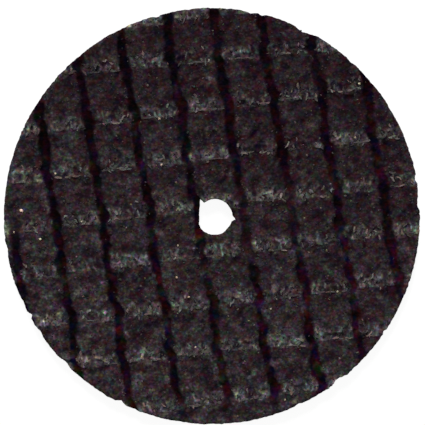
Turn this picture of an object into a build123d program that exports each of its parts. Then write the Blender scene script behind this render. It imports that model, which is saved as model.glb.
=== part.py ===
"""A fibre-reinforced abrasive cutting disc for a rotary tool.

The disc is pressed and cured in one piece round a glass-fibre cloth. On both faces the yarns
that run one way lie in furrows, and the yarns that run across them stand as low ridges with
one steep side. Where a furrow meets a ridge it is pushed aside, one way and the other in turn.
The bore is torn where it was punched beside a furrow, and the rim is chipped.

Millimetres. The disc lies flat. The origin is on the bore's axis, on the plane that the
underside's ridges rest on, and +Z is up. +X runs along the ridges, to within their slant.
"""
import math
import os

from build123d import *

# Disc, measured over the crests of both faces
disc_diameter = 38.1
disc_thickness = 1.1
rim_shift = -0.29  # the rim's centre from the bore's, along X

# Bore, as punched, and the side of it that stopped at a furrow
bore_diameter = 3.2
bore_flat_distance = 1.46  # from the bore's axis to the flat wall on its -X side

# Furrows over the warp yarns. Each crosses the X axis at its place and leans to -X going up
furrow_width = 0.78  # from brim to brim, at the height of the crests
furrow_floor_width = 0.34
furrow_depth = 0.17  # below the crests
furrow_pitch = 4.35  # along X
furrow_start = -1.65  # where the furrow beside the bore crosses the X axis
furrow_lean = 0.16  # mm of X for each mm of Y
furrow_push = 0.22  # how far a furrow is pushed aside where it meets a ridge
furrow_push_reach = 1.15  # along Y, from the middle of a push to where the furrow is straight again
furrow_numbers = range(-4, 5)
furrow_drifts = {-4: 0.45}  # a yarn that lies off its pitch, by its number
furrow_extra_leans = {-4: -0.03, -3: -0.01, -2: -0.01}  # a yarn that leans otherwise

# Ridges over the weft yarns. Each crosses the Y axis at its place and rises going to +X
ridge_height = 0.07  # of the crests above the plain lands
ridge_pitch = 4.5  # along Y
ridge_start = 1.1  # where the ridge beside the bore crosses the Y axis
ridge_rise = 0.12  # mm of Y for each mm of X
ridge_foot = 0.45  # from a yarn's line to the foot of the steep side, towards -Y
ridge_lip = 0.1  # width of the steep side
ridge_crest = 0.3  # width of the flat crest
ridge_back = 0.95  # from a yarn's line to the end of the gentle side, towards +Y
ridge_middle = 0.25  # from a yarn's line to the middle of its ridge, towards +Y
ridge_numbers = range(-4, 5)
ridge_drifts = {-3: 0.25, -1: 0.1, 3: -0.1}  # a yarn that lies off its pitch, by its number
ridge_extra_rises = {-4: 0.015, -3: -0.015, 2: 0.02, 3: -0.03}  # a yarn that rises otherwise

# Chips out of the rim: degrees at the start, at the deepest place and at the end, and the depth
rim_chips = [
    (1.0, 3.0, 8.5, 0.2),
    (9.0, 10.0, 11.5, 0.16),
    (46.5, 48.0, 49.5, 0.09),
    (60.0, 64.0, 67.0, 0.28),
    (75.0, 76.0, 77.2, 0.16),
    (77.5, 79.0, 82.5, 0.14),
    (103.5, 105.6, 107.2, 0.2),
    (134.0, 135.0, 136.5, 0.1),
    (187.5, 189.0, 191.5, 0.15),
    (202.5, 204.5, 206.5, 0.1),
    (207.3, 208.7, 209.8, 0.28),
    (211.5, 214.0, 216.5, 0.14),
    (222.0, 225.0, 227.5, 0.14),
    (242.2, 243.9, 245.3, 0.28),
    (293.0, 294.8, 296.5, 0.15),
    (305.3, 307.0, 310.5, 0.28),
    (325.2, 326.0, 327.2, 0.12),
]

# Nicks torn out of the bore's wall: the tip and the two ends of its mouth
bore_nicks = [
    ((-1.42, 1.62), (-0.93, 1.2), (-1.42, 0.6)),
    ((1.98, -0.3), (1.55, 0.1), (1.5, -0.5)),
]

# How far a cutter reaches past what it cuts
cutter_margin = 2.0

disc_radius = disc_diameter / 2
bore_radius = bore_diameter / 2


def on_rim(angle, depth=0.0):
    """The point at an angle on the rim, or a depth inside it."""
    reach = disc_radius - depth
    x = rim_shift + reach * math.cos(math.radians(angle))
    y = reach * math.sin(math.radians(angle))
    return (x, y)


def rim_outline():
    """The round outline less its chips."""
    outline = Pos(rim_shift, 0) * Circle(disc_radius)
    for start, deepest, end, depth in rim_chips:
        outline -= Polygon(
            on_rim(start, -cutter_margin),
            on_rim(start),
            on_rim(deepest, depth),
            on_rim(end),
            on_rim(end, -cutter_margin),
            align=None,
        )
    return outline


def bore_outline():
    """The round bore, flat where it met the furrow, with the nicks torn out of it."""
    side = 2 * bore_diameter
    beside_flat = Pos(side / 2 - bore_flat_distance, 0) * Rectangle(side, side)
    outline = Circle(bore_radius) & beside_flat
    for tip, mouth_start, mouth_end in bore_nicks:
        outline += Polygon(tip, mouth_start, (0, 0), mouth_end, align=None)
    return outline


def ridge_line(number):
    """Where a weft yarn crosses the Y axis, and how it rises."""
    place = ridge_start + ridge_pitch * number + ridge_drifts.get(number, 0)
    rise = ridge_rise + ridge_extra_rises.get(number, 0)
    return place, rise


def furrow_line(number):
    """Where a warp yarn crosses the X axis, and how it leans."""
    place = furrow_start + furrow_pitch * number + furrow_drifts.get(number, 0)
    lean = furrow_lean + furrow_extra_leans.get(number, 0)
    return place, lean


def ridge_bar(number):
    """A weft yarn's ridges on both faces, as one bar through the disc along the yarn."""
    place, rise = ridge_line(number)
    foot = place - ridge_foot
    crest_start = foot + ridge_lip
    crest_end = crest_start + ridge_crest
    back = place + ridge_back
    top = disc_thickness
    section = Polygon(
        (foot, ridge_height),
        (crest_start, 0),
        (crest_end, 0),
        (back, ridge_height),
        (back, top - ridge_height),
        (crest_end, top),
        (crest_start, top),
        (foot, top - ridge_height),
        align=None,
    )
    across = Plane(origin=(0, 0, 0), x_dir=(0, 1, 0), z_dir=(1, 0, 0))
    bar = extrude(across * section, disc_radius + cutter_margin, both=True)
    return Rot(Z=math.degrees(math.atan(rise))) * bar


def furrow_path(number):
    """A warp yarn's line, pushed aside at each ridge, one way and the other in turn."""
    place, lean = furrow_line(number)
    reach = math.ceil((disc_radius + cutter_margin) / ridge_pitch) + 1
    points = []
    for ridge in range(-reach, reach + 1):
        ridge_place, rise = ridge_line(ridge)
        middle = (ridge_place + ridge_middle + rise * place) / (1 + rise * lean)
        push = furrow_push if ridge % 2 == 0 else -furrow_push
        for y, aside in ((middle - furrow_push_reach, 0), (middle, push), (middle + furrow_push_reach, 0)):
            points.append((place - lean * y + aside, y))
    return Polyline(points)


def furrow_cutters(number):
    """The two bars that cut a warp yarn's furrow into the upper and the lower face."""
    path = furrow_path(number)
    along = path % 0
    across = Plane(origin=path @ 0, x_dir=(-along.Y, along.X, 0), z_dir=along)
    half_floor = furrow_floor_width / 2
    half_width = furrow_width / 2
    half_mouth = 2 * half_width - half_floor
    cutters = []
    for face_height, outward in ((disc_thickness, 1), (0, -1)):
        section = Polygon(
            (-half_floor, face_height - outward * furrow_depth),
            (half_floor, face_height - outward * furrow_depth),
            (half_mouth, face_height + outward * furrow_depth),
            (-half_mouth, face_height + outward * furrow_depth),
            align=None,
        )
        cutters.append(sweep(across * section, path=path, transition=Transition.RIGHT))
    return cutters


def cutting_disc():
    """The whole disc, with the cloth's relief on both faces and the torn bore."""
    rim = rim_outline()
    lands = Pos(Z=ridge_height) * extrude(rim, disc_thickness - 2 * ridge_height)
    bars = Part() + [ridge_bar(number) for number in ridge_numbers]
    disc = lands + (bars & extrude(rim, disc_thickness))
    for number in furrow_numbers:
        disc -= furrow_cutters(number)
    disc -= extrude(bore_outline(), disc_thickness + cutter_margin, both=True)
    return disc


disc = cutting_disc()
disc.label = "cutting_disc"

os.makedirs("parts", exist_ok=True)
export_step(disc, "parts/cutting_disc.step")

print("solids", len(disc.solids()), "volume", round(disc.volume, 2), "valid", disc.is_valid)
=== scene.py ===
# %% [markdown]
# # A reinforced cutting disc
# This lesson dresses the plain solid of a small abrasive cutting disc. The real disc is pressed
# from grit and resin round a glass cloth and cured in one piece. One set of the cloth's yarns lies
# in dark furrows. The yarns that cross them stand as pale crinkled ridges. The frame comes first,
# because every piece has to sit where the solid is.

# %% Load the frame
import math

import bpy
import numpy as np
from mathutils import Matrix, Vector
from mathutils.bvhtree import BVHTree


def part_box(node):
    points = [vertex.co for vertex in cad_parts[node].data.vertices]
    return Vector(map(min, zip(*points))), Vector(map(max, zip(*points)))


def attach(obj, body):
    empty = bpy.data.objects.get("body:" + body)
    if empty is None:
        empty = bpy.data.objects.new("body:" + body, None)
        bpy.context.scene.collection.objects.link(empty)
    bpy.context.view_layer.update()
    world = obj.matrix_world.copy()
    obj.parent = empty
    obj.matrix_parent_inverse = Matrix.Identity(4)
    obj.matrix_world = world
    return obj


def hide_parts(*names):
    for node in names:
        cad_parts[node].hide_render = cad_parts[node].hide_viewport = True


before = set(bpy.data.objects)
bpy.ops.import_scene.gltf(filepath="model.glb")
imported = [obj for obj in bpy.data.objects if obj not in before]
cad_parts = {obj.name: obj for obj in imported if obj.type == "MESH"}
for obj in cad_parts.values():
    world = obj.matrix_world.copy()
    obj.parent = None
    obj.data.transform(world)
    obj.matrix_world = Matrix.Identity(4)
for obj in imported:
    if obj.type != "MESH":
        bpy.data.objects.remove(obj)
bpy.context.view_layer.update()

MM = 0.001
low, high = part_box("cutting_disc")
disc_radius = (high.y - low.y) / 2
rim_middle = (low.x + high.x) / 2
crest_height = high.z
half_height = crest_height / 2
print("radius", disc_radius, "rim middle", rim_middle, "thickness", crest_height)

# %% [markdown]
# ## The lines of the cloth
# Each yarn is a line in plan. A furrow crosses the X axis at its place and leans as it goes up. A
# ridge crosses the Y axis at its place and rises as it goes right. Where the two meet, the furrow
# is pushed aside, one way and the other in turn, and between ridges it runs straight. Every later
# step asks the same functions how far a point lies from a yarn, so relief, colour and fibres agree.

# %% Measure from the yarns
furrow_pitch = 4.35 * MM
furrow_start = -1.65 * MM
furrow_lean = 0.16
furrow_push = 0.22 * MM
furrow_push_reach = 1.15 * MM
furrow_drifts = {-4: 0.45 * MM}
furrow_extra_leans = {-4: -0.03, -3: -0.01, -2: -0.01}
ridge_pitch = 4.5 * MM
ridge_start = 1.1 * MM
ridge_rise = 0.12
ridge_drifts = {-3: 0.25 * MM, -1: 0.1 * MM, 3: -0.1 * MM, 4: -0.45 * MM}
ridge_extra_rises = {-4: 0.015, -3: -0.015, 2: 0.02, 3: -0.03}
ridge_middle = 0.25 * MM


def lookup(numbers, exceptions):
    """The exception of each whole number in an array, or 0 where it has none."""
    found = np.zeros(np.shape(numbers))
    for number, value in exceptions.items():
        found = np.where(numbers == number, value, found)
    return found


def from_ridge(x, y):
    """The number of the nearest ridge, and how far a point lies from its line, towards +Y."""
    number = np.round((y - ridge_rise * x - ridge_start - ridge_middle) / ridge_pitch)
    place = ridge_start + ridge_pitch * number + lookup(number, ridge_drifts)
    rise = ridge_rise + lookup(number, ridge_extra_rises)
    return number, y - place - rise * x


def smooth_step(value, start, end):
    """0 before start, 1 past end, and smooth between. The ends may run backwards."""
    t = np.clip((value - start) / (end - start), 0, 1)
    return t * t * (3 - 2 * t)


def push_aside(x, y):
    """How far the furrows are pushed towards +X here."""
    number, across = from_ridge(x, y)
    way = 1 - 2 * (number % 2)
    return way * furrow_push * smooth_step(np.abs(across - ridge_middle), furrow_push_reach, 0)


def from_furrow(x, y):
    """The number of the nearest furrow, and how far a point lies from its line, towards +X."""
    aside = push_aside(x, y)
    number = np.round((x + furrow_lean * y - aside - furrow_start) / furrow_pitch)
    place = furrow_start + furrow_pitch * number + lookup(number, furrow_drifts)
    lean = furrow_lean + lookup(number, furrow_extra_leans)
    return number, x - place + lean * y - aside


print("the bore's axis lies", round(float(from_furrow(0.0, 0.0)[1] / MM), 2), "mm right of furrow 0")

# %% [markdown]
# ## Chance that repeats
# No two fields of the real cloth are alike, but the script has to give the same disc each time. So
# all chance comes from numbered tables. One kind has a number for each field between the yarns.
# The other kind changes smoothly from place to place, to make edges wander.

# %% Chance by field and by place
fields = 16
cells_across = 256
field_table = np.random.default_rng(12).random((6, fields, fields)) * 2 - 1
wander_table = np.random.default_rng(31).random((4, cells_across, cells_across)) * 2 - 1


def field_place(x, y):
    """The ridge and the column of a point's field, and how far across the field it lies, 0 to 1."""
    ridge, _ = from_ridge(x, y)
    column = (x + furrow_lean * y - push_aside(x, y) - furrow_start) / furrow_pitch
    whole = np.floor(column)
    return ridge.astype(int) % fields, whole.astype(int) % fields, column - whole


def field_chance(layer, x, y):
    """A number from -1 to 1 for the field that a point lies in."""
    ridge, column, _ = field_place(x, y)
    return field_table[layer][ridge, column]


def wander(layer, x, y, size):
    """A number from -1 to 1 that changes smoothly over a given size."""
    column = np.floor(x / size).astype(int)
    row = np.floor(y / size).astype(int)
    right = smooth_step(x / size - column, 0, 1)
    up = smooth_step(y / size - row, 0, 1)

    def along_row(row):
        row = row % cells_across
        left_value = wander_table[layer][row, column % cells_across]
        right_value = wander_table[layer][row, (column + 1) % cells_across]
        return left_value * (1 - right) + right_value * right

    return along_row(row) * (1 - up) + along_row(row + 1) * up


print("the bore lies in field", field_place(0.0, 0.0)[:2])

# %% [markdown]
# ## A fine blank
# The relief needs an even mesh far finer than the solid's own. A copy of the solid is merged, its
# two faces are pressed flat, and a voxel remesh then lays small even squares over it. The chipped
# rim and the torn bore come along, so nothing has to be drawn twice.

# %% Copy and remesh the solid
voxel = 0.125 * MM
weld_distance = 0.0001 * MM


def deselect_all():
    """Nothing selected and nothing active, so that the next operator meets only what it should."""
    bpy.ops.object.select_all(action="DESELECT")
    bpy.context.view_layer.objects.active = None


def make_active(piece):
    """Only this piece selected and active."""
    deselect_all()
    piece.select_set(True)
    bpy.context.view_layer.objects.active = piece


def flat_copy(node_name, piece_name):
    """A merged copy of a CAD node with its upper and its lower relief pressed flat."""
    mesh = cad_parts[node_name].data.copy()
    piece = bpy.data.objects.new(piece_name, mesh)
    bpy.context.scene.collection.objects.link(piece)
    make_active(piece)
    bpy.ops.object.mode_set(mode="EDIT")
    bpy.ops.mesh.select_all(action="SELECT")
    bpy.ops.mesh.remove_doubles(threshold=weld_distance)
    bpy.ops.object.mode_set(mode="OBJECT")
    for vertex in mesh.vertices:
        vertex.co.z = crest_height if vertex.co.z > half_height else 0
    return piece


disc = flat_copy("cutting_disc", "pressed_disc")
disc.data.remesh_voxel_size = voxel
bpy.ops.object.voxel_remesh()
print("blank", len(disc.data.vertices), "vertices")

# %% [markdown]
# ## The cloth's relief
# No operator cuts eighteen wavy lines that stay in step, so the vertices are moved by a formula. A
# ridge has a steep side towards -Y, a broad crest gathered in pleats, and a gentle back. Its edges
# wander, and each field between the yarns has its own small shift and slant.

# %% Shape the ridges
ridge_height = 0.08 * MM
lip_place = -0.4 * MM
lip_start = lip_place - 0.07 * MM
lip_end = lip_place + 0.03 * MM
back_start = 0.42 * MM
back_end = 1.02 * MM
field_shift = 0.13 * MM
field_slant = 0.2 * MM
edge_wander = 0.05 * MM
pleat_sharpness = 2.2
coarse_pleats = 0.62


def hump(value, middle, reach):
    """1 at the middle, falling smoothly to nearly 0 at twice the reach on either side."""
    return np.exp(-((value - middle) / reach) ** 2)


def band_distance(x, y):
    """How far a point lies from its ridge's line, with each field's own shift and slant."""
    _, across = from_ridge(x, y)
    _, _, along = field_place(x, y)
    shift = field_shift * field_chance(0, x, y) - field_slant * (along - 0.5)
    return across - shift - edge_wander * wander(0, x, y, 0.6 * MM)


def ridge_share(x, y):
    """1 on the crest of a ridge, 0 on the plain lands."""
    across = band_distance(x, y)
    return smooth_step(across, lip_start, lip_end) * smooth_step(across, back_end, back_start)


def pleats(x, y):
    """The crinkles that cross a ridge: 1 along each fold, falling to 0 between them."""
    bent = x + 0.2 * MM * wander(2, x, y, 0.6 * MM) + 0.3 * MM * wander(3, x, y, 1.4 * MM)
    coarse = 1 - np.abs(wander(0, bent, y * 0.45, 0.38 * MM)) * pleat_sharpness
    fine = 1 - np.abs(wander(1, bent + 7 * MM, y * 0.7, 0.28 * MM)) * pleat_sharpness
    return np.clip(coarse_pleats * coarse + (1 - coarse_pleats) * fine, 0, 1)


across_ridge = ridge_start + np.linspace(-0.6, 1.2, 7) * MM
print("shares across a ridge", ridge_share(np.zeros(7), across_ridge).round(2))

# %% [markdown]
# ## Furrows, open and filled
# A furrow is a rounded trough with a ragged edge. Grit has filled some stretches of the real ones,
# which are narrower, shallower and paler there. Chance would fill the wrong stretches, so they are
# a short list, and each one fades in and out along its furrow.

# %% Shape the furrows
furrow_depth = 0.22 * MM
furrow_brim = 0.5 * MM
furrow_floor = 0.15 * MM
narrowed_by_fill = 0.1 * MM
lost_to_fill = 0.5

# The furrow's number, the middle of the stretch along Y and its reach either way, in millimetres,
# and how full the stretch is
filled_stretches = [
    (-4, 0.8, 4.5, 0.8),
    (-1, -18.5, 2.5, 0.7),
    (0, -4.2, 2.2, 0.35),
    (0, -18.5, 2.5, 0.6),
    (1, -0.7, 5.5, 0.5),
    (1, -18.5, 2.5, 0.7),
    (1, 16.5, 2.0, 0.5),
    (2, 1.0, 4.0, 0.35),
    (3, 13.5, 3.5, 0.35),
    (4, -8.0, 1.5, 0.7),
]


def filled(x, y):
    """How full of grit the furrow is here, from 0 to 1."""
    number, _ = from_furrow(x, y)
    full = np.zeros(np.shape(number))
    for furrow, middle, reach, share in filled_stretches:
        near = smooth_step(np.abs(y - middle * MM), reach * MM, 0.5 * reach * MM)
        full = np.maximum(full, share * near * (number == furrow))
    return full


def furrow_distance(x, y):
    """How far a point lies from the nearest furrow's line, with a ragged edge."""
    _, across = from_furrow(x, y)
    _, from_yarn = from_ridge(x, y)
    at_ridge = smooth_step(np.abs(from_yarn - ridge_middle), 1.1 * MM, 0.5 * MM)
    aside = 0.14 * MM * wander(3, x, y, 1.1 * MM) + 0.03 * MM * at_ridge
    ragged = 0.13 * MM * wander(1, x, y, 0.34 * MM) + 0.12 * MM * wander(2, x, y, 0.8 * MM)
    return np.abs(across - aside) + ragged - 0.05 * MM * at_ridge + narrowed_by_fill * filled(x, y)


def furrow_share(x, y):
    """1 on the floor of a furrow, 0 outside it."""
    open_share = smooth_step(furrow_distance(x, y), furrow_brim, furrow_floor)
    return open_share * (1 - lost_to_fill * filled(x, y))


print("filled stretches", len(filled_stretches))

# %% [markdown]
# ## Pits
# Here and there a grain has fallen out of the real disc and left a hollow, whose colour is later darkened
# as painted shade. The clearest ones are a list, because chance would put them elsewhere. Each is an oval
# that rises smoothly to its brim.

# %% Shape the pits
pit_depth = 0.1 * MM

# The place along X and Y and the reach along the pit and across it, in millimetres, and how the
# pit slants from the X axis, in degrees
pits = [
    (15.6, 6.5, 0.5, 0.3, 80),
    (12.3, 10.9, 0.5, 0.25, 10),
    (3.5, 7.5, 0.9, 0.2, 50),
    (7.7, 5.5, 0.5, 0.25, 60),
    (13.2, 7.1, 0.4, 0.15, 50),
    (5.5, 2.1, 0.4, 0.2, 60),
    (-5.8, 8.5, 0.4, 0.25, 10),
    (-9.0, 13.0, 0.4, 0.25, 110),
    (-0.9, 4.7, 0.5, 0.15, 10),
    (-8.1, 4.9, 0.35, 0.2, 50),
]


def pit_share(x, y):
    """1 in the middle of a pit, falling to 0 away from the pits."""
    share = np.zeros(np.shape(x))
    for pit_x, pit_y, along, across, slant in pits:
        right = x / MM - pit_x
        up = y / MM - pit_y
        turn = math.radians(slant)
        u = (right * math.cos(turn) + up * math.sin(turn)) / along
        v = (up * math.cos(turn) - right * math.sin(turn)) / across
        share = np.maximum(share, np.exp(-((u**2 + v**2) ** 2)))
    return share


print("pits", len(pits))

# %% [markdown]
# ## Press the relief into the blank
# Each vertex moves by how far up the wall it stands, so the faces take the whole relief and the
# middle of the wall stays put. The outer edge is rounded by wear, and the bore's wall is pushed out
# at its bottom, a little to the left, where the real one is worn.

# %% Move the vertices
foot_depth = 0.035 * MM
foot_place = lip_place - 0.13 * MM
foot_reach = 0.07 * MM
fold_depth = 0.13 * MM
worn_edge_depth = 0.07 * MM
worn_edge_width = 0.3 * MM
bore_wear = 0.15 * MM


def read_vectors(items, name):
    """A vector of each vertex or each face, as a table of x, y and z."""
    flat = np.empty(len(items) * 3)
    items.foreach_get(name, flat)
    return flat.reshape(-1, 3)


def read_places(mesh):
    """The vertices' places."""
    return read_vectors(mesh.vertices, "co")


def write_places(mesh, places):
    """Moves the vertices to the places in a table."""
    mesh.vertices.foreach_set("co", places.ravel())
    mesh.update()


def relief(x, y):
    """How far the pressed face lies below its crests, as a number from 0 down."""
    furrow = furrow_share(x, y)
    ridge = ridge_share(x, y)
    foot = foot_depth * hump(band_distance(x, y), foot_place, foot_reach)
    folds = fold_depth * (1 - pleats(x, y)) * ridge
    land = -ridge_height * (1 - ridge) - foot - folds
    from_middle = np.hypot(x - rim_middle, y)
    worn_edge = worn_edge_depth * smooth_step(from_middle, disc_radius - worn_edge_width, disc_radius) ** 2
    return land * (1 - furrow) - furrow_depth * furrow - worn_edge - pit_depth * pit_share(x, y)


def wear_bore(places):
    """Pushes the bore's wall out where it is worn, at its bottom and a little to the left."""
    x, y, _ = places.T
    from_axis = np.hypot(x, y)
    near = smooth_step(from_axis, 2.6 * MM, 1.7 * MM)
    towards_wear = (-y - 0.25 * x) / np.maximum(from_axis, 0.1 * MM)
    push = bore_wear * near * smooth_step(towards_wear, 0.45, 0.95)
    places[:, 0] += push * x / from_axis
    places[:, 1] += push * y / from_axis


places = read_places(disc.data)
wear_bore(places)
x, y, z = places.T
share_up = (z - half_height) / half_height
places[:, 2] = half_height + share_up * (half_height + relief(x, y))
write_places(disc.data, places)
smooth_z = places[:, 2].copy()
print("upper face from", round(float(smooth_z[share_up > 0.99].min() / MM), 3), "mm up")

# %% [markdown]
# ## Mark ridges, furrows, lands and wall
# Ridges, furrows, the plain lands between them and the rim's wall each crumple and colour in their
# own way. A mask says where each is, with a number from 0 to 1 for each vertex. It is kept as an
# attribute, which the material reads, and in ten steps as a vertex group, which a modifier reads.

# %% Keep the masks
def keep_value(piece, name, values):
    """Keeps a value for each vertex as an attribute."""
    attribute = piece.data.attributes.new(name, "FLOAT", "POINT")
    attribute.data.foreach_set("value", values.astype(np.float32))


def keep_mask(piece, name, values):
    """Keeps a value for each vertex as an attribute and as a vertex group of the same name."""
    keep_value(piece, name, values)
    group = piece.vertex_groups.new(name=name)
    steps = np.round(values * 10).astype(int)
    for step in range(1, 11):
        members = np.nonzero(steps == step)[0].tolist()
        if members:
            group.add(members, step / 10, "REPLACE")


on_face = smooth_step(np.abs(share_up), 0.5, 0.95)
furrow_mask = smooth_step(furrow_distance(x, y), 0.6 * MM, 0.24 * MM) * on_face
furrow_mask *= 1 - lost_to_fill * filled(x, y)
ridge_mask = ridge_share(x, y) * (1 - furrow_mask) * on_face
land_mask = (1 - ridge_mask) * (1 - furrow_mask)
masks = {"wall": 1 - on_face, "ridge": ridge_mask, "furrow": furrow_mask, "land": land_mask}
for name, mask in masks.items():
    keep_mask(disc, name, mask)
    print(name, "covers", round(float(mask.mean()), 2))

# %% [markdown]
# ## Where wear, stains and painted light lie
# The real disc isn't equally pale all over. The ridges are rubbed pale round the bore and near the rim,
# and resin has left stains. Painted light is mixed in as well: the colour is painted paler towards the
# bottom and the left, painted shade darkens the foot of the steep sides and the pits, and a painted
# highlight lies along the lips of some fields. Each is a factor on one number, the wear and painted light,
# which later multiplies the colour. A second number, the film, says how much of the wine-red resin lies on
# top.

# %% Work out the wear, the painted light and the film
# Painted light: how much paler the colour is painted towards the bottom and the left, as if more light
# fell there
painted_light_down = 0.52
painted_light_left = 0.2
most_wear_and_painted_light = 1.75
# Painted shade in the pits
painted_pit_shade = 0.85
open_film = 0.95

from_lip = band_distance(x, y) - lip_place
from_edge = disc_radius - np.hypot(x - rim_middle, y)
near_bore = smooth_step(np.hypot(x, y), 9.0 * MM, 3.0 * MM)
far_aside = smooth_step(np.abs(x), 9.0 * MM, 14.0 * MM)
off_furrow = 1 - furrow_mask
# The fields whose lips get a painted highlight
painted_highlight_field = smooth_step(field_chance(3, x, y), 0.1, 0.7)
stain = smooth_step(wander(2, 0.35 * (x + y), y - x, 0.65 * MM), 0.42, 0.8)
furrow_change = 1.1 * wander(0, x, y, 1.7 * MM) + (0.25 * x - 0.7 * y) / disc_radius - 0.1

# Painted light first, paler towards the bottom and the left, then slow random changes and each ridge
# field's own change
wear_and_painted_light = 1 - painted_light_down * y / disc_radius - painted_light_left * x / disc_radius
wear_and_painted_light += 0.2 * wander(2, x, y, 3.4 * MM)
wear_and_painted_light += 0.34 * field_chance(2, x, y) * ridge_mask
factors = {
    "patches on ridges": np.exp(0.5 * wander(1, x, y, 0.9 * MM) * ridge_mask),
    "stretches of furrows": np.exp(furrow_change * furrow_mask),
    # Painted highlight: a pale line along the lip in some fields
    "painted highlight on lips": 1 + 0.6 * hump(from_lip, 0.08 * MM, 0.09 * MM) * painted_highlight_field * off_furrow,
    # Painted shade along the foot of each steep side, below the lip
    "painted shade at the foot": 1 - 0.2 * hump(from_lip, -0.5 * MM, 0.4 * MM),
    "stains": 1 - 0.55 * stain * off_furrow,
    "outer edge": 1 + 0.4 * smooth_step(from_edge, 0.8 * MM, 0.2 * MM),
    "ends of ridges": 1 + 0.4 * ridge_mask * smooth_step(from_edge, 2.2 * MM, 1.0 * MM),
    "distance from the bore": 1 + (0.85 * near_bore - 0.13 * far_aside - 0.04) * ridge_mask,
}
for cause, factor in factors.items():
    wear_and_painted_light *= factor
    print(cause, round(float(factor.mean()), 3))

# The pits are darkened as painted shade
wear_and_painted_light = np.minimum(wear_and_painted_light, most_wear_and_painted_light) * (1 - painted_pit_shade * pit_share(x, y) * (share_up > 0))
furrow_film = (0.35 + 0.55 * smooth_step(wear_and_painted_light, 0.0, 2.0)) * (1 + 0.3 * x / disc_radius)
film = open_film + (furrow_film - open_film) * furrow_mask
keep_value(disc, "wear_and_painted_light", wear_and_painted_light)
keep_value(disc, "film", film)
print("wear from", round(float(wear_and_painted_light.min()), 2), "to", round(float(wear_and_painted_light.max()), 2))

# %% [markdown]
# ## Crumple and grit
# Resin shrinks as it cures, so the skin over the ridges crinkles sharply and the skin between them
# only mottles. Displace modifiers do this with procedural noise, each held to a vertex group. Hard
# noise pushed inwards leaves sharp creases standing between rounded hollows.

# %% Crumple the surface
def displace(piece, name, size, depth, strength, group="", hard=False, middle=0.5):
    """Pushes the surface in and out with a cloud noise of a given size and strength."""
    texture = bpy.data.textures.new(name, "CLOUDS")
    texture.noise_scale = size
    texture.noise_depth = depth
    texture.noise_type = "HARD_NOISE" if hard else "SOFT_NOISE"
    modifier = piece.modifiers.new(name, "DISPLACE")
    modifier.texture = texture
    modifier.texture_coords = "LOCAL"
    modifier.strength = strength
    modifier.mid_level = middle
    modifier.vertex_group = group
    make_active(piece)
    bpy.ops.object.modifier_apply(modifier=modifier.name)


displace(disc, "slow_waves", 1.3 * MM, 2, 0.09 * MM, "land")
displace(disc, "land_mottle", 0.34 * MM, 1, 0.12 * MM, "land")
displace(disc, "ridge_creases", 0.6 * MM, 1, -0.2 * MM, "ridge", hard=True, middle=0.3)
displace(disc, "furrow_lumps", 0.36 * MM, 1, 0.1 * MM, "furrow")
displace(disc, "wall_grit", 0.3 * MM, 2, 0.1 * MM, "wall")
print("highest point", round(float(read_places(disc.data)[:, 2].max() / MM), 3), "mm")

# %% [markdown]
# ## Keep within the real thickness
# Pressing plates leave no point above the crests, so what the noise pushed past them is taken back. How
# far each point now lies above or below the smooth relief is kept for the colours: high spots are painted
# paler, partly as wear and partly as painted highlight, and hollows are darkened as painted shade. The
# underside is then thinned, because it is hardly seen.

# %% Trim the crests and mark the high spots
proud = 0.02 * MM
crumple_range = 0.09 * MM
fold_paleness = 0.6

places = read_places(disc.data)
places[:, 2] = np.clip(places[:, 2], 0, crest_height + proud)
write_places(disc.data, places)
outward = np.sign(smooth_z - half_height)
raised = (places[:, 2] - smooth_z) * outward
# Painted highlight and shade: raised folds of the pleats and high spots are painted paler and hollows
# darker, partly as wear
paler_folds = np.where(ridge_mask > 0.5, fold_paleness * (pleats(x, y) - 0.5), 0)
high_spot_wear_and_painted_light = np.clip(0.5 + raised / (2 * crumple_range) + paler_folds, 0, 1)
keep_value(disc, "high_spot_wear_and_painted_light", high_spot_wear_and_painted_light)
print("high spots", round(float(high_spot_wear_and_painted_light.mean()), 2), "on average")

# %% Thin the underside
underside_share = 0.2
facing_down = -0.3


def thin_underside(piece, ratio):
    """Thins the faces that look down."""
    make_active(piece)
    bpy.ops.object.mode_set(mode="EDIT")
    bpy.ops.mesh.select_mode(type="FACE")
    bpy.ops.mesh.select_all(action="DESELECT")
    bpy.ops.object.mode_set(mode="OBJECT")
    facing = read_vectors(piece.data.polygons, "normal")[:, 2]
    height = read_vectors(piece.data.polygons, "center")[:, 2]
    down = (facing < facing_down) & (height < half_height)
    piece.data.polygons.foreach_set("select", down)
    bpy.ops.object.mode_set(mode="EDIT")
    bpy.ops.mesh.decimate(ratio=ratio)
    bpy.ops.object.mode_set(mode="OBJECT")


def count_triangles(piece):
    """How many triangles a piece has."""
    piece.data.calc_loop_triangles()
    return len(piece.data.loop_triangles)


thin_underside(disc, underside_share)
bpy.ops.object.shade_smooth()
print("disc triangles", count_triangles(disc))

# %% [markdown]
# ## Copies by the thousand
# Grit, flakes and strands are each modelled once. Their copies are too many to be objects of their
# own, so each copy's points are worked out in a table and laid into one mesh, with its own shade
# and tint. A ray dropped on the disc says how high the surface stands where a copy has to lie.

# %% Find places and heights
disc_tree = BVHTree.FromObject(disc, bpy.context.evaluated_depsgraph_get())
reach_above = 1.0 * MM
rim_margin = 0.12 * MM
clear_of_bore = 2.0 * MM


def surface_heights(x, y, side):
    """The height of the upper (side 1) or lower (side -1) face at each place, or not a number."""
    start = half_height + side * (half_height + reach_above)
    found = []
    for place in zip(x, y):
        hit, _, _, _ = disc_tree.ray_cast(Vector((*place, start)), Vector((0, 0, -side)))
        found.append(hit.z if hit else math.nan)
    return np.array(found)


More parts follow.
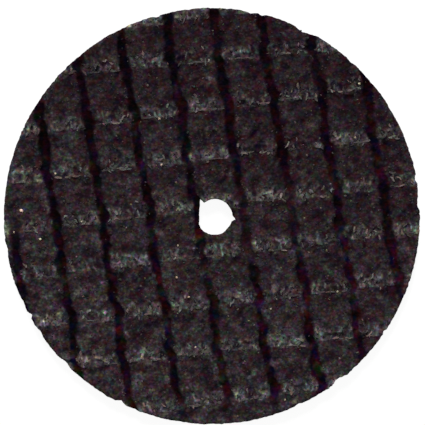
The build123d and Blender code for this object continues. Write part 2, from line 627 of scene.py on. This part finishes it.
def random_places(chance, count):
    """Places spread evenly over the disc, clear of the bore's edge."""
    radius = (disc_radius - rim_margin) * np.sqrt(chance.random(count))
    angle = chance.random(count) * 2 * math.pi
    x = rim_middle + radius * np.cos(angle)
    y = radius * np.sin(angle)
    clear = np.hypot(x, y) > clear_of_bore
    return x[clear], y[clear]


print("upper face at (5, 5) mm", surface_heights([5 * MM], [5 * MM], 1))

# %% Turn, size and lay copies
proud_copies = 0.028 * MM


def random_lengths(chance, count, limits, power=1.0):
    """Lengths between two limits. A power above 1 makes the long ones few."""
    least, most = limits
    return (least + (most - least) * chance.random(count) ** power) * MM


def either_way(chance, count, most):
    """Numbers between -most and most."""
    return (chance.random(count) * 2 - 1) * most


def turn_table(heading, lean, roll):
    """Rotation tables from a roll about X, then a lean about Y, then a heading about Z."""
    ch, sh = np.cos(heading), np.sin(heading)
    cl, sl = np.cos(lean), np.sin(lean)
    cr, sr = np.cos(roll), np.sin(roll)
    rows = [
        [ch * cl, ch * sl * sr - sh * cr, ch * sl * cr + sh * sr],
        [sh * cl, sh * sl * sr + ch * cr, sh * sl * cr - ch * sr],
        [-sl, cl * sr, cl * cr],
    ]
    return np.array(rows).transpose(2, 0, 1)


def free_turns(chance, count):
    """Rotation tables that turn each copy every way."""
    heading = chance.random(count) * 2 * math.pi
    lean = either_way(chance, count, math.pi)
    roll = either_way(chance, count, math.pi)
    return turn_table(heading, lean, roll)


def lay_copies(name, model, shapes, rotations, middles, shades, tints):
    """One mesh of many copies. Shapes has each copy's own points before it is turned and placed."""
    points = np.einsum("nij,nkj->nki", rotations, shapes) + middles[:, None, :]
    points[:, :, 2] = np.clip(points[:, :, 2], -proud_copies, crest_height + proud_copies)
    per_copy = points.shape[1]
    faces = [list(polygon.vertices) for polygon in model.data.polygons]
    all_faces = []
    for copy in range(len(points)):
        for face in faces:
            all_faces.append([corner + per_copy * copy for corner in face])
    mesh = bpy.data.meshes.new(name)
    mesh.from_pydata(points.reshape(-1, 3), [], all_faces)
    piece = bpy.data.objects.new(name, mesh)
    bpy.context.scene.collection.objects.link(piece)
    keep_value(piece, "shade", np.repeat(shades, per_copy))
    keep_value(piece, "tint", np.repeat(tints, per_copy))
    bpy.data.objects.remove(model)
    print(name, len(points), "copies,", count_triangles(piece), "triangles")
    return piece


# %% [markdown]
# ## One broken grain
# Crushed grit is angular, with flat broken faces that each catch the light in their own way. One
# grain is an ico sphere cut by two flat breaks, and each copy is stretched its own way.

# %% Model one grain
# A point on each flat break and the way the break faces
grain_breaks = (((0.2, 0.1, 0.2), (0.6, 0.3, 0.7)), ((-0.2, 0.2, 0), (-0.8, 0.6, 0.1)))


def cut_active(cuts, **options):
    """Cuts the active piece by flat planes, each a point and the way the plane faces."""
    bpy.ops.object.mode_set(mode="EDIT")
    for middle, facing in cuts:
        bpy.ops.mesh.select_all(action="SELECT")
        bpy.ops.mesh.bisect(plane_co=middle, plane_no=facing, **options)
    bpy.ops.object.mode_set(mode="OBJECT")
    return bpy.context.active_object


def model_grain():
    """A broken grain, one unit across."""
    deselect_all()
    bpy.ops.mesh.primitive_ico_sphere_add(subdivisions=1, radius=0.5)
    return cut_active(grain_breaks, use_fill=True, clear_outer=True)


def own_shapes(chance, model, sizes, roughness):
    """Each copy's own points: the model's, stretched by its sizes and roughened a little."""
    base = read_places(model.data)
    jitter = (chance.random((len(sizes), len(base), 3)) - 0.5) * roughness
    return (base[None, :, :] + jitter) * sizes[:, None, :]


# %% [markdown]
# ## Bright chips
# A few chips show as bright points, and their pale warm colour is a painted glint. Chance would put them
# elsewhere, so their places are a list. Each lies on the upper face, turned and stretched by chance.

# %% Lay the bright chips
# The place along X and Y and the size, in millimetres, and how bright the chip is
bright_chips = [
    (-17.7, 0.5, 0.3, 1.0),
    (-18.4, -1.5, 0.2, 0.5),
    (-16.0, -2.1, 0.26, 0.6),
    (-14.6, 3.9, 0.22, 0.5),
    (-12.2, -0.5, 0.22, 0.5),
    (-4.9, 4.7, 0.24, 0.5),
    (-5.1, 8.9, 0.22, 0.4),
    (-3.4, -2.7, 0.2, 0.3),
    (-3.5, -5.6, 0.24, 0.5),
    (-2.4, -7.4, 0.22, 0.5),
    (-1.8, -12.0, 0.22, 0.4),
    (5.1, -8.5, 0.2, 0.3),
    (6.4, -16.8, 0.2, 0.3),
    (9.6, -10.5, 0.22, 0.4),
    (11.2, -6.9, 0.2, 0.3),
    (12.8, 7.2, 0.22, 0.5),
    (13.2, 12.1, 0.22, 0.5),
]


def lay_bright_chips(name, seed):
    """Glossy chips whose pale colour is a painted glint, each at its own place on the upper face."""
    chance = np.random.default_rng(seed)
    chips = np.array(bright_chips)
    gx, gy = chips[:, 0] * MM, chips[:, 1] * MM
    sizes = chips[:, 2:3] * (0.8 + 0.5 * chance.random((len(chips), 3))) * MM
    model = model_grain()
    shapes = own_shapes(chance, model, sizes, 0.2)
    middles = np.stack([gx, gy, surface_heights(gx, gy, 1)], axis=1)
    rotations = free_turns(chance, len(chips))
    return lay_copies(name, model, shapes, rotations, middles, chips[:, 3], chance.random(len(chips)))


bright_grains = lay_bright_chips("bright_chips", 11)

# %% [markdown]
# ## Abrasive grains
# Grit lies all over both faces, sunk partly into the resin. Few grains lie in the furrows, where
# resin covers them, and none in a pit, where one has fallen out.

# %% Lay the grains
grain_size = (0.16, 0.36)  # mm
grain_sunk = 0.05 * MM
shown_in_furrows = 0.08


def lay_grains(name, seed, count, side):
    """Grains bedded in one face of the disc."""
    chance = np.random.default_rng(seed)
    gx, gy = random_places(chance, count)
    height = surface_heights(gx, gy, side)
    bare = (furrow_share(gx, gy) < 0.3) | (chance.random(len(gx)) < shown_in_furrows)
    kept = ~np.isnan(height) & bare & (pit_share(gx, gy) < 0.3)
    gx, gy, height = gx[kept], gy[kept], height[kept]
    number = len(gx)
    sizes = random_lengths(chance, (number, 3), grain_size, 2)
    model = model_grain()
    shapes = own_shapes(chance, model, sizes, 0.15)
    middles = np.stack([gx, gy, height - side * grain_sunk], axis=1)
    shades = chance.random(number)
    rotations = free_turns(chance, number)
    return lay_copies(name, model, shapes, rotations, middles, shades, chance.random(number))


upper_grains = lay_grains("upper_grains", 5, 3600, 1)
lower_grains = lay_grains("lower_grains", 6, 2000, -1)

# %% [markdown]
# ## Flakes on the ridges
# The ridges carry torn flakes of resin and bits of glass fibre. Most lie across their ridge, some
# curled, thickest along the steep edge and near the rim, where they are pinker. One flake is a
# thin bar with cuts across it, and each copy bends, curls and tapers those cuts in its own way.

# %% Model one flake
flake_cuts = 4


def model_bar(cuts):
    """A bar, one unit long, wide and thick, with even cuts across its length."""
    deselect_all()
    bpy.ops.mesh.primitive_cube_add(size=1)
    places = [cut / (cuts + 1) - 0.5 for cut in range(1, cuts + 1)]
    return cut_active([((place, 0, 0), (1, 0, 0)) for place in places])


def curled_shapes(chance, model, lengths, widths, thicknesses):
    """Each copy's own points: tapered to its ends, bent sideways and curled up."""
    base = read_places(model.data)
    each = (len(lengths), 1)
    along = base[None, :, 0] * np.ones(each)
    taper = 1 - (0.4 + 0.5 * chance.random(each)) * (2 * along) ** 2
    bend = either_way(chance, each, 0.5)
    curl = either_way(chance, each, 0.35)
    kink = either_way(chance, each, 0.1)
    length, width, thickness = lengths[:, None], widths[:, None], thicknesses[:, None]
    sx = along * length
    sy = base[None, :, 1] * width * taper + (bend * along**2 + kink * np.sin(9 * along)) * length
    sz = base[None, :, 2] * thickness + curl * (along**2 - 0.1) * length
    return np.stack([sx, sy, sz], axis=2)


# %% Lay the flakes
flake_length = (0.35, 0.8)  # mm
flake_width = (0.13, 0.25)
flake_thickness = (0.04, 0.07)
flake_tries = 8
flake_chance = 0.55
flake_lift = 0.015 * MM
bare_rim = 0.45 * MM
heading_spread = 0.6


def flake_density(x, y, near_rim):
    """How likely a flake is to lie at a place: 0 in a furrow, most along the steep edge."""
    across = band_distance(x, y)
    edge = hump(across, -0.33 * MM, 0.12 * MM)
    field = smooth_step(across, -0.42 * MM, -0.3 * MM) * smooth_step(across, 1.2 * MM, 0.1 * MM)
    off_furrow = smooth_step(furrow_distance(x, y), 0.45 * MM, 0.6 * MM)
    density = (0.5 * field + 0.5 * edge) * off_furrow * (1 + 0.5 * field_chance(1, x, y))
    return density * (1 + 0.7 * near_rim)


def lay_flakes(name, seed, count, side):
    """Flakes along the ridges of one face."""
    chance = np.random.default_rng(seed)
    fx, fy = random_places(chance, count * flake_tries)
    from_edge = disc_radius - np.hypot(fx - rim_middle, fy)
    near_rim = smooth_step(from_edge, 2.6 * MM, 1.2 * MM)
    density = flake_density(fx, fy, near_rim) * (from_edge > bare_rim)
    kept = chance.random(len(fx)) < density * flake_chance
    fx, fy, near_rim = fx[kept], fy[kept], near_rim[kept]
    height = surface_heights(fx, fy, side)
    found = ~np.isnan(height)
    fx, fy, near_rim, height = fx[found], fy[found], near_rim[found], height[found]
    number = len(fx)
    lengths = random_lengths(chance, number, flake_length, 1.5)
    widths = random_lengths(chance, number, flake_width)
    thicknesses = random_lengths(chance, number, flake_thickness)
    heading = math.pi / 2 + chance.normal(0, heading_spread, number)
    lean = either_way(chance, number, 0.35)
    roll = either_way(chance, number, 0.7)
    model = model_bar(flake_cuts)
    shapes = curled_shapes(chance, model, lengths, widths, thicknesses)
    middles = np.stack([fx, fy, height + side * flake_lift], axis=1)
    rotations = turn_table(heading, lean, roll)
    tints = (0.3 + 0.7 * chance.random(number)) * (1 - 0.9 * near_rim)
    return lay_copies(name, model, shapes, rotations, middles, chance.random(number), tints)


upper_flakes = lay_flakes("upper_flakes", 7, 1000, 1)
lower_flakes = lay_flakes("lower_flakes", 8, 700, -1)

# %% [markdown]
# ## Strands along the lips
# Here and there the outermost glass fibres of a yarn lie bare along the steep edge of its ridge, as
# a thin pale line with a shadow below. One strand is the same bar with more cuts. Each copy's cuts
# are laid along the lip of its ridge, so it follows every waver of the edge.

# %% Lay the strands
strand_cuts = 11
strand_length = (0.35, 1.25)  # mm
strand_width = (0.08, 0.21)
above_lip = (0.03, 0.15)
strand_lift = 0.01 * MM
strand_thickness = 0.06 * MM
clear_of_furrow = 0.35 * MM
clear_of_rim = 0.3 * MM
most_waver = 0.5 * MM


def on_lip(x, y, offset):
    """The Y at which the lip of the nearest ridge passes under each X."""
    for _ in range(6):
        y = y - (band_distance(x, y) - lip_place - offset)
    return y


def lay_strands(name, seed, count, side):
    """Strands along the lips of one face."""
    chance = np.random.default_rng(seed)
    middle_x, middle_y = random_places(chance, count)
    count = len(middle_x)
    lengths = random_lengths(chance, count, strand_length, 1.5)
    offsets = random_lengths(chance, count, above_lip)
    model = model_bar(strand_cuts)
    base = read_places(model.data)
    x = middle_x[:, None] + lengths[:, None] * base[None, :, 0]
    _, across = from_ridge(x, middle_y[:, None] * np.ones_like(x))
    near_lip = middle_y[:, None] - across[:, :1] + lip_place * np.ones_like(x)
    y = on_lip(x, near_lip, offsets[:, None])
    y = y + 0.07 * MM * wander(1, x, y, 0.3 * MM)
    height = surface_heights(x.ravel(), y.ravel(), side).reshape(x.shape)
    kept = (furrow_distance(x, y) > clear_of_furrow).all(axis=1) & ~np.isnan(height).any(axis=1)
    kept &= (np.hypot(x - rim_middle, y) < disc_radius - clear_of_rim).all(axis=1)
    kept &= np.abs(y - y.mean(axis=1, keepdims=True)).max(axis=1) < most_waver
    x, y, height = x[kept], y[kept], height[kept]
    taper = 1 - 0.8 * (2 * base[None, :, 0]) ** 4
    widths = random_lengths(chance, (len(x), 1), strand_width)
    y = y + base[None, :, 1] * widths * taper
    z = height + side * strand_lift + base[None, :, 2] * strand_thickness * taper
    shapes = np.stack([x, y, z], axis=2)
    unturned = np.tile(np.eye(3), (len(x), 1, 1))
    nowhere = np.zeros((len(x), 3))
    shades = chance.random(len(x)) ** 0.8
    return lay_copies(name, model, shapes, unturned, nowhere, shades, chance.random(len(x)))


upper_strands = lay_strands("upper_strands", 9, 260, 1)
lower_strands = lay_strands("lower_strands", 10, 160, -1)

# %% [markdown]
# ## Shared effects for the materials
# The resin has the same mottle, the same packed grains and the same thin film wherever it is, so
# all three are node groups, built once. They read Object coordinates, which stay with the piece
# from every side. A few short functions come first, so that each node takes one line.

# %% Short ways to add nodes
def feed(tree, socket, source):
    """Links a source to a socket, or sets the socket's own value."""
    if isinstance(source, bpy.types.NodeSocket):
        tree.links.new(source, socket)
    else:
        socket.default_value = source


def new_group(name, inputs, outputs):
    """An empty shader group. Inputs are (name, kind, default) and outputs (name, kind)."""
    group = bpy.data.node_groups.new(name, "ShaderNodeTree")
    for label, kind, default in inputs:
        socket = group.interface.new_socket(name=label, in_out="INPUT", socket_type="NodeSocket" + kind)
        socket.default_value = default
    for label, kind in outputs:
        group.interface.new_socket(name=label, in_out="OUTPUT", socket_type="NodeSocket" + kind)
    start = group.nodes.new("NodeGroupInput")
    end = group.nodes.new("NodeGroupOutput")
    return group, start, end


def add_node(tree, kind, links=(), **values):
    """A node with its properties set and its inputs linked or given, by name or number."""
    node = tree.nodes.new(kind)
    for name, value in values.items():
        setattr(node, name, value)
    for socket, source in links:
        feed(tree, node.inputs[socket], source)
    return node


def calculate(tree, operation, *sources):
    """The result of a sum on one or two values."""
    return add_node(tree, "ShaderNodeMath", enumerate(sources), operation=operation).outputs[0]


def own_place(tree):
    """The place on the piece, in Object coordinates."""
    return add_node(tree, "ShaderNodeTexCoord").outputs["Object"]


def noise(tree, coordinates, scale, detail=2.0, roughness=0.5):
    """A noise texture at a scale given in lumps per metre."""
    links = [("Vector", coordinates), ("Scale", scale), ("Detail", detail), ("Roughness", roughness)]
    return add_node(tree, "ShaderNodeTexNoise", links)


def cells(tree, coordinates, scale):
    """A Voronoi texture, whose cells look like packed grains, at a scale in cells per metre."""
    return add_node(tree, "ShaderNodeTexVoronoi", [("Vector", coordinates), ("Scale", scale)])


def stretch(tree, value, low_value, high_value, to_low=0.0, to_high=1.0):
    """Spreads a value between two limits over a new range."""
    links = [("Value", value), ("From Min", low_value), ("From Max", high_value)]
    links += [("To Min", to_low), ("To Max", to_high)]
    return add_node(tree, "ShaderNodeMapRange", links).outputs["Result"]


def stretch_colour(tree, colour, low_value, high_value, to_low, to_high):
    """Spreads each channel of a colour between two limits over a new range."""
    links = [(6, colour)]
    for socket, value in enumerate((low_value, high_value, to_low, to_high), 7):
        links.append((socket, (value, value, value)))
    return add_node(tree, "ShaderNodeMapRange", links, data_type="FLOAT_VECTOR").outputs["Vector"]


def blend_colours(tree, share, first, second, kind="MIX"):
    """A mix of two colours, each given as a socket or as red, green and blue."""
    node = add_node(tree, "ShaderNodeMix", data_type="RGBA", blend_type=kind)
    for socket, source in ((0, share), (6, first), (7, second)):
        source = (*source, 1.0) if isinstance(source, tuple) else source
        feed(tree, node.inputs[socket], source)
    return node.outputs[2]


def multiply(tree, first, second):
    """One colour times another colour or a value."""
    return blend_colours(tree, 1.0, first, second, "MULTIPLY")


def add_up(tree, first, second):
    """One colour laid on top of another."""
    return blend_colours(tree, 1.0, first, second, "ADD")


# %% Build the shared node groups
blotches_per_metre = 800.0
tints_per_metre = 3300.0
glows_per_metre = 950.0
crinkles_per_metre = 1200.0
patches_per_metre = 1750.0
film_colour = (0.0086, 0.0004, 0.0038)


def build_mottle():
    """Blotches round one half, upright crinkles, a tint round white, and glows of single colours."""
    outputs = [("Blotch", "Float"), ("Crinkle", "Float"), ("Tint", "Color"), ("Glow", "Color")]
    group, start, end = new_group("resin_mottle", [("Size", "Float", 1.0)], outputs)
    sized = add_node(group, "ShaderNodeVectorMath", operation="SCALE")
    group.links.new(own_place(group), sized.inputs[0])
    group.links.new(start.outputs["Size"], sized.inputs["Scale"])
    vector = sized.outputs["Vector"]
    blotch = noise(group, vector, blotches_per_metre, 3.0, 0.8).outputs["Fac"]
    tint = cells(group, vector, tints_per_metre).outputs["Color"]
    glow = noise(group, vector, glows_per_metre, 1.0).outputs["Color"]
    upright = add_node(group, "ShaderNodeMapping", [("Vector", vector), ("Scale", (1.0, 0.5, 1.0))])
    folded = noise(group, upright.outputs["Vector"], crinkles_per_metre, 1.0)
    folded.inputs["Distortion"].default_value = 0.7
    apart = calculate(group, "ABSOLUTE", calculate(group, "SUBTRACT", folded.outputs["Fac"], 0.5))
    results = {
        "Blotch": blotch,
        "Crinkle": stretch(group, apart, 0.18, 0.0),
        "Tint": stretch_colour(group, tint, 0.0, 1.0, 0.5, 1.5),
        "Glow": stretch_colour(group, glow, 0.46, 0.76, 0.0, 1.0),
    }
    for name, result in results.items():
        group.links.new(result, end.inputs[name])
    return group


def build_fine_grit():
    """Packed grains and dust: a bumpy normal, and 1 on top of a grain, 0 in the gaps."""
    inputs = [("Strength", "Float", 0.5), ("Scale", "Float", 4200.0)]
    group, start, end = new_group("fine_grit", inputs, [("Normal", "Vector"), ("Grain", "Float")])
    place = own_place(group)
    grain = cells(group, place, start.outputs["Scale"]).outputs["Distance"]
    grain = stretch(group, grain, 0.8, 0.1)
    dust = noise(group, place, start.outputs["Scale"], 3.0, 0.6).outputs["Fac"]
    height = calculate(group, "ADD", grain, dust)
    links = [("Height", height), ("Strength", start.outputs["Strength"]), ("Distance", 0.06 * MM)]
    bump = add_node(group, "ShaderNodeBump", links)
    group.links.new(bump.outputs["Normal"], end.inputs["Normal"])
    group.links.new(grain, end.inputs["Grain"])
    return group


def build_resin_film():
    """Adds the dark wine-red and blue-black of the resin, thin over everything, to a colour."""
    inputs = [("Colour", "Color", (0.5, 0.5, 0.5, 1.0))]
    inputs += [("Amount", "Float", 1.0), ("Patchiness", "Float", 0.6)]
    group, start, end = new_group("resin_film", inputs, [("Colour", "Color")])
    patches = noise(group, own_place(group), patches_per_metre, 1.0).outputs["Color"]
    patches = stretch_colour(group, patches, 0.3, 0.7, 0.0, 1.8)
    patches = multiply(group, patches, patches)
    patches = blend_colours(group, start.outputs["Patchiness"], (0.95, 0.95, 0.95), patches)
    film = multiply(group, multiply(group, patches, film_colour), start.outputs["Amount"])
    group.links.new(add_up(group, start.outputs["Colour"], film), end.inputs["Colour"])
    return group


mottle_group = build_mottle()
grit_group = build_fine_grit()
film_group = build_resin_film()
print("groups", [group.name for group in bpy.data.node_groups])

# %% [markdown]
# ## The disc's own finish
# Three finishes meet on one surface: matt brown-grey grit and resin on the lands, paler crinkled skin on
# the ridges, and near-black resin with wine-red stretches in the furrows. The attributes say which is
# where, how worn it is together with its painted light and shade, and how much film lies on it. High spots
# are painted paler than hollows, partly as wear and partly as painted highlight and painted shade, and the
# mottle and the fine grit break every colour up.

# %% Paint the disc
land_colour = (0.0175, 0.0172, 0.0170)
ridge_colour = (0.0470, 0.0476, 0.0420)
ridge_blue = (0.0, 0.0, 0.0036)
furrow_glow = (0.010, 0.006, 0.011)
furrow_black = (0.0003, 0.0006, 0.0006)


def new_material(name):
    """A material with only its output and a Principled shader."""
    material = bpy.data.materials.new(name)
    material.use_nodes = True
    shader = material.node_tree.nodes["Principled BSDF"]
    return material, material.node_tree, shader


def place_group(tree, group, **values):
    """A group node in a material, with its inputs linked or given by name."""
    node = tree.nodes.new("ShaderNodeGroup")
    node.node_tree = group
    for name, source in values.items():
        feed(tree, node.inputs[name], source)
    return node


def filmed(tree, colour, amount=1.0, patchiness=0.6):
    """A colour under the thin film of resin."""
    node = place_group(tree, film_group, Colour=colour, Amount=amount, Patchiness=patchiness)
    return node.outputs["Colour"]


def attribute_value(tree, name):
    """The value of a piece's own attribute."""
    return add_node(tree, "ShaderNodeAttribute", attribute_name=name).outputs["Fac"]


def lighten_by(tree, colour, *changes):
    """A colour that each (value, contrast) lightens above one half and darkens below it."""
    for value, contrast in changes:
        above = calculate(tree, "SUBTRACT", value, 0.5)
        colour = multiply(tree, colour, calculate(tree, "POWER", contrast, above))
    return colour


def tinted(tree, colour, mottle, share=1.0):
    """A colour broken up by the mottle's tint."""
    return blend_colours(tree, share, colour, mottle.outputs["Tint"], "MULTIPLY")


def set_surface(tree, shader, colour, roughness, specular, grit=None):
    """The surface's colour, how rough it is, how strongly it reflects, and its grit."""
    tree.links.new(colour, shader.inputs["Base Color"])
    if grit:
        tree.links.new(grit.outputs["Normal"], shader.inputs["Normal"])
    shader.inputs["Roughness"].default_value = roughness
    shader.inputs["Specular IOR Level"].default_value = specular


def disc_material():
    """Grit and resin, with ridges and furrows by their attributes."""
    material, tree, shader = new_material("grit_and_resin")
    mottle = place_group(tree, mottle_group, Size=1.0)
    grit = place_group(tree, grit_group, Strength=0.5, Scale=4000.0)
    blotch, crinkle, grain = mottle.outputs["Blotch"], mottle.outputs["Crinkle"], grit.outputs["Grain"]
    spot_wear_and_painted_light = attribute_value(tree, "high_spot_wear_and_painted_light")
    in_furrow = attribute_value(tree, "furrow")
    # High spots lighten and hollows darken the colour: partly wear, partly painted highlight and painted
    # shade
    land = lighten_by(tree, land_colour, (blotch, 400.0), (spot_wear_and_painted_light, 2.5), (grain, 2.5))
    land = tinted(tree, land, mottle, 0.85)
    changes = ((spot_wear_and_painted_light, 8.5), (blotch, 40.0), (crinkle, 3.5), (grain, 2.0))
    pale = lighten_by(tree, ridge_colour, *changes)
    pale = add_up(tree, tinted(tree, pale, mottle, 0.75), ridge_blue)
    dark = add_up(tree, multiply(tree, mottle.outputs["Glow"], furrow_glow), furrow_black)
    dark = lighten_by(tree, dark, (blotch, 900.0))
    colour = blend_colours(tree, attribute_value(tree, "ridge"), land, pale)
    colour = blend_colours(tree, in_furrow, colour, dark)
    # Wear and painted light together: paler towards the bottom and the left, painted shade at the foot of
    # the steep sides and in the pits, and a painted highlight on some lips
    colour = multiply(tree, colour, attribute_value(tree, "wear_and_painted_light"))
    patchiness = stretch(tree, in_furrow, 0.0, 1.0, 0.75, 1.0)
    colour = filmed(tree, colour, attribute_value(tree, "film"), patchiness)
    set_surface(tree, shader, colour, 0.65, 0.02, grit)
    return material


def finish_piece(piece, material):
    """Gives a piece its material and fixes it to the disc's body."""
    piece.data.materials.clear()
    piece.data.materials.append(material)
    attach(piece, "root")
    print(piece.name, "is", material.name)


finish_piece(disc, disc_material())
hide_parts("cutting_disc")

# %% [markdown]
# ## Grains, chips and flakes
# Grains run from brown-black to grey, and a very few are much paler. Chips are glossier, and their warm
# white at the brightest is a painted glint. Flakes and strands run from dark resin to pale glass, and
# their tint goes from pinkish to greenish.

# %% Paint the grains, the chips and the flakes
grain_dark = (0.007, 0.007, 0.007)
grain_grey = (0.034, 0.034, 0.032)
grain_bright = (0.14, 0.12, 0.10)
chip_dull = (0.12, 0.10, 0.09)
# The brightest chips' warm white is a painted glint
chip_painted_glint = (0.95, 0.75, 0.52)
flake_dark = (0.026, 0.027, 0.026)
flake_pink = (0.190, 0.124, 0.108)
flake_green = (0.112, 0.140, 0.122)


def grain_material():
    """Crushed mineral, dark to grey, a little glossy."""
    material, tree, shader = new_material("crushed_grain")
    mottle = place_group(tree, mottle_group, Size=1.6)
    shade = attribute_value(tree, "shade")
    colour = blend_colours(tree, shade, grain_dark, grain_grey)
    colour = blend_colours(tree, calculate(tree, "POWER", shade, 30.0), colour, grain_bright)
    colour = filmed(tree, tinted(tree, colour, mottle))
    grit = place_group(tree, grit_group, Strength=0.3, Scale=9000.0)
    set_surface(tree, shader, colour, 0.6, 0.06, grit)
    return material


def chip_material():
    """Glossy chips whose warm white colour is a painted glint."""
    material, tree, shader = new_material("glossy_chip_with_painted_glint")
    mottle = place_group(tree, mottle_group, Size=1.6)
    colour = blend_colours(tree, attribute_value(tree, "shade"), chip_dull, chip_painted_glint)
    set_surface(tree, shader, tinted(tree, colour, mottle, 0.3), 0.35, 0.5)
    return material


def flake_material():
    """Torn resin and glass, dark to pale."""
    material, tree, shader = new_material("torn_flake")
    mottle = place_group(tree, mottle_group, Size=1.3)
    bright = calculate(tree, "POWER", attribute_value(tree, "shade"), 2.5)
    pale = blend_colours(tree, attribute_value(tree, "tint"), flake_pink, flake_green)
    colour = blend_colours(tree, bright, flake_dark, pale)
    colour = filmed(tree, tinted(tree, colour, mottle, 0.4))
    grit = place_group(tree, grit_group, Strength=0.5, Scale=7000.0)
    set_surface(tree, shader, colour, 0.45, 0.2, grit)
    return material


grain_finish = grain_material()
for piece in (upper_grains, lower_grains):
    finish_piece(piece, grain_finish)
finish_piece(bright_grains, chip_material())
flake_finish = flake_material()
for piece in (upper_flakes, lower_flakes, upper_strands, lower_strands):
    finish_piece(piece, flake_finish)

# %% [markdown]
# ## The paper
# The disc lies flat on white paper. To the camera the paper looks pure white and keeps the disc's
# contact shadow. To the disc it is dark grey, so it throws little light on the rim's wall.

# %% Lay the paper
paper_size = 4.0
paper_height = -0.03 * MM
paper_grey = (0.14, 0.14, 0.14, 1.0)
paper_glow = 0.92


def paper_material():
    """White paper that keeps a soft shadow."""
    material, tree, shader = new_material("white_paper")
    tree.nodes.remove(shader)
    output = tree.nodes["Material Output"]
    diffuse = add_node(tree, "ShaderNodeBsdfDiffuse", [("Color", paper_grey)])
    glow = add_node(tree, "ShaderNodeEmission", [("Strength", paper_glow)])
    both = add_node(tree, "ShaderNodeAddShader", [(0, diffuse.outputs[0]), (1, glow.outputs[0])])
    to_camera = add_node(tree, "ShaderNodeLightPath").outputs["Is Camera Ray"]
    links = [(0, to_camera), (1, diffuse.outputs[0]), (2, both.outputs[0])]
    seen = add_node(tree, "ShaderNodeMixShader", links)
    tree.links.new(seen.outputs[0], output.inputs["Surface"])
    return material


deselect_all()
bpy.ops.mesh.primitive_plane_add(size=paper_size, location=(0, 0, paper_height))
paper = bpy.context.active_object
paper.name = "paper"
paper.data.materials.append(paper_material())
print("paper", paper_size, "m wide")

# %% [markdown]
# ## The light
# A large soft lamp stands beyond the disc's upper edge, so the steep sides of the ridges, which face
# away from it, lie in shade. A weak fill comes from everywhere. Only the camera sees the world as
# pure white, so the disc is lit at a plain level and its colours come out as written.

# %% Set the world and the lamp
fill_strength = 0.35
lamp_place = (-0.06, 0.5, 0.33)
lamp_size = 0.2
lamp_power = 4.4

world = bpy.data.worlds.new("studio")
bpy.context.scene.world = world
world.use_nodes = True
sky = world.node_tree
background = sky.nodes["Background"]
background.inputs["Color"].default_value = (1.0, 1.0, 1.0, 1.0)
to_camera = add_node(sky, "ShaderNodeLightPath").outputs["Is Camera Ray"]
sky.links.new(stretch(sky, to_camera, 0.0, 1.0, fill_strength, 1.0), background.inputs["Strength"])

light = bpy.data.lights.new("upper_lamp", "AREA")
light.size = lamp_size
light.energy = lamp_power
lamp = bpy.data.objects.new("upper_lamp", light)
lamp.location = lamp_place
lamp.rotation_euler = (-Vector(lamp_place)).to_track_quat("-Z", "Y").to_euler()
bpy.context.scene.collection.objects.link(lamp)
print("lamp", round(Vector(lamp_place).length, 2), "m away")

# %% [markdown]
# ## The camera
# The camera looks straight down. Its lens is worked out from how many pixels the disc's radius
# takes in the picture, and its place from the pixel on which the rim's middle falls.

# %% Set the camera
frame_width = 425
view_radius_px = 208.4
rim_middle_px = (211.9, 216.1)
camera_distance = 0.11
nearest_seen = 0.01

metres_per_px = disc_radius / view_radius_px
camera_data = bpy.data.cameras.new("camera")
camera = bpy.data.objects.new("camera", camera_data)
bpy.context.scene.collection.objects.link(camera)
camera_data.sensor_width = 36.0
camera_data.lens = camera_data.sensor_width * camera_distance / (frame_width * metres_per_px)
camera_data.clip_start = nearest_seen
camera.location = (
    rim_middle + (frame_width / 2 - rim_middle_px[0]) * metres_per_px,
    -(frame_width / 2 - rim_middle_px[1]) * metres_per_px,
    crest_height + camera_distance,
)
bpy.context.scene.camera = camera
bpy.context.scene.view_settings.view_transform = "Standard"
print("lens", round(camera_data.lens, 1), "mm")
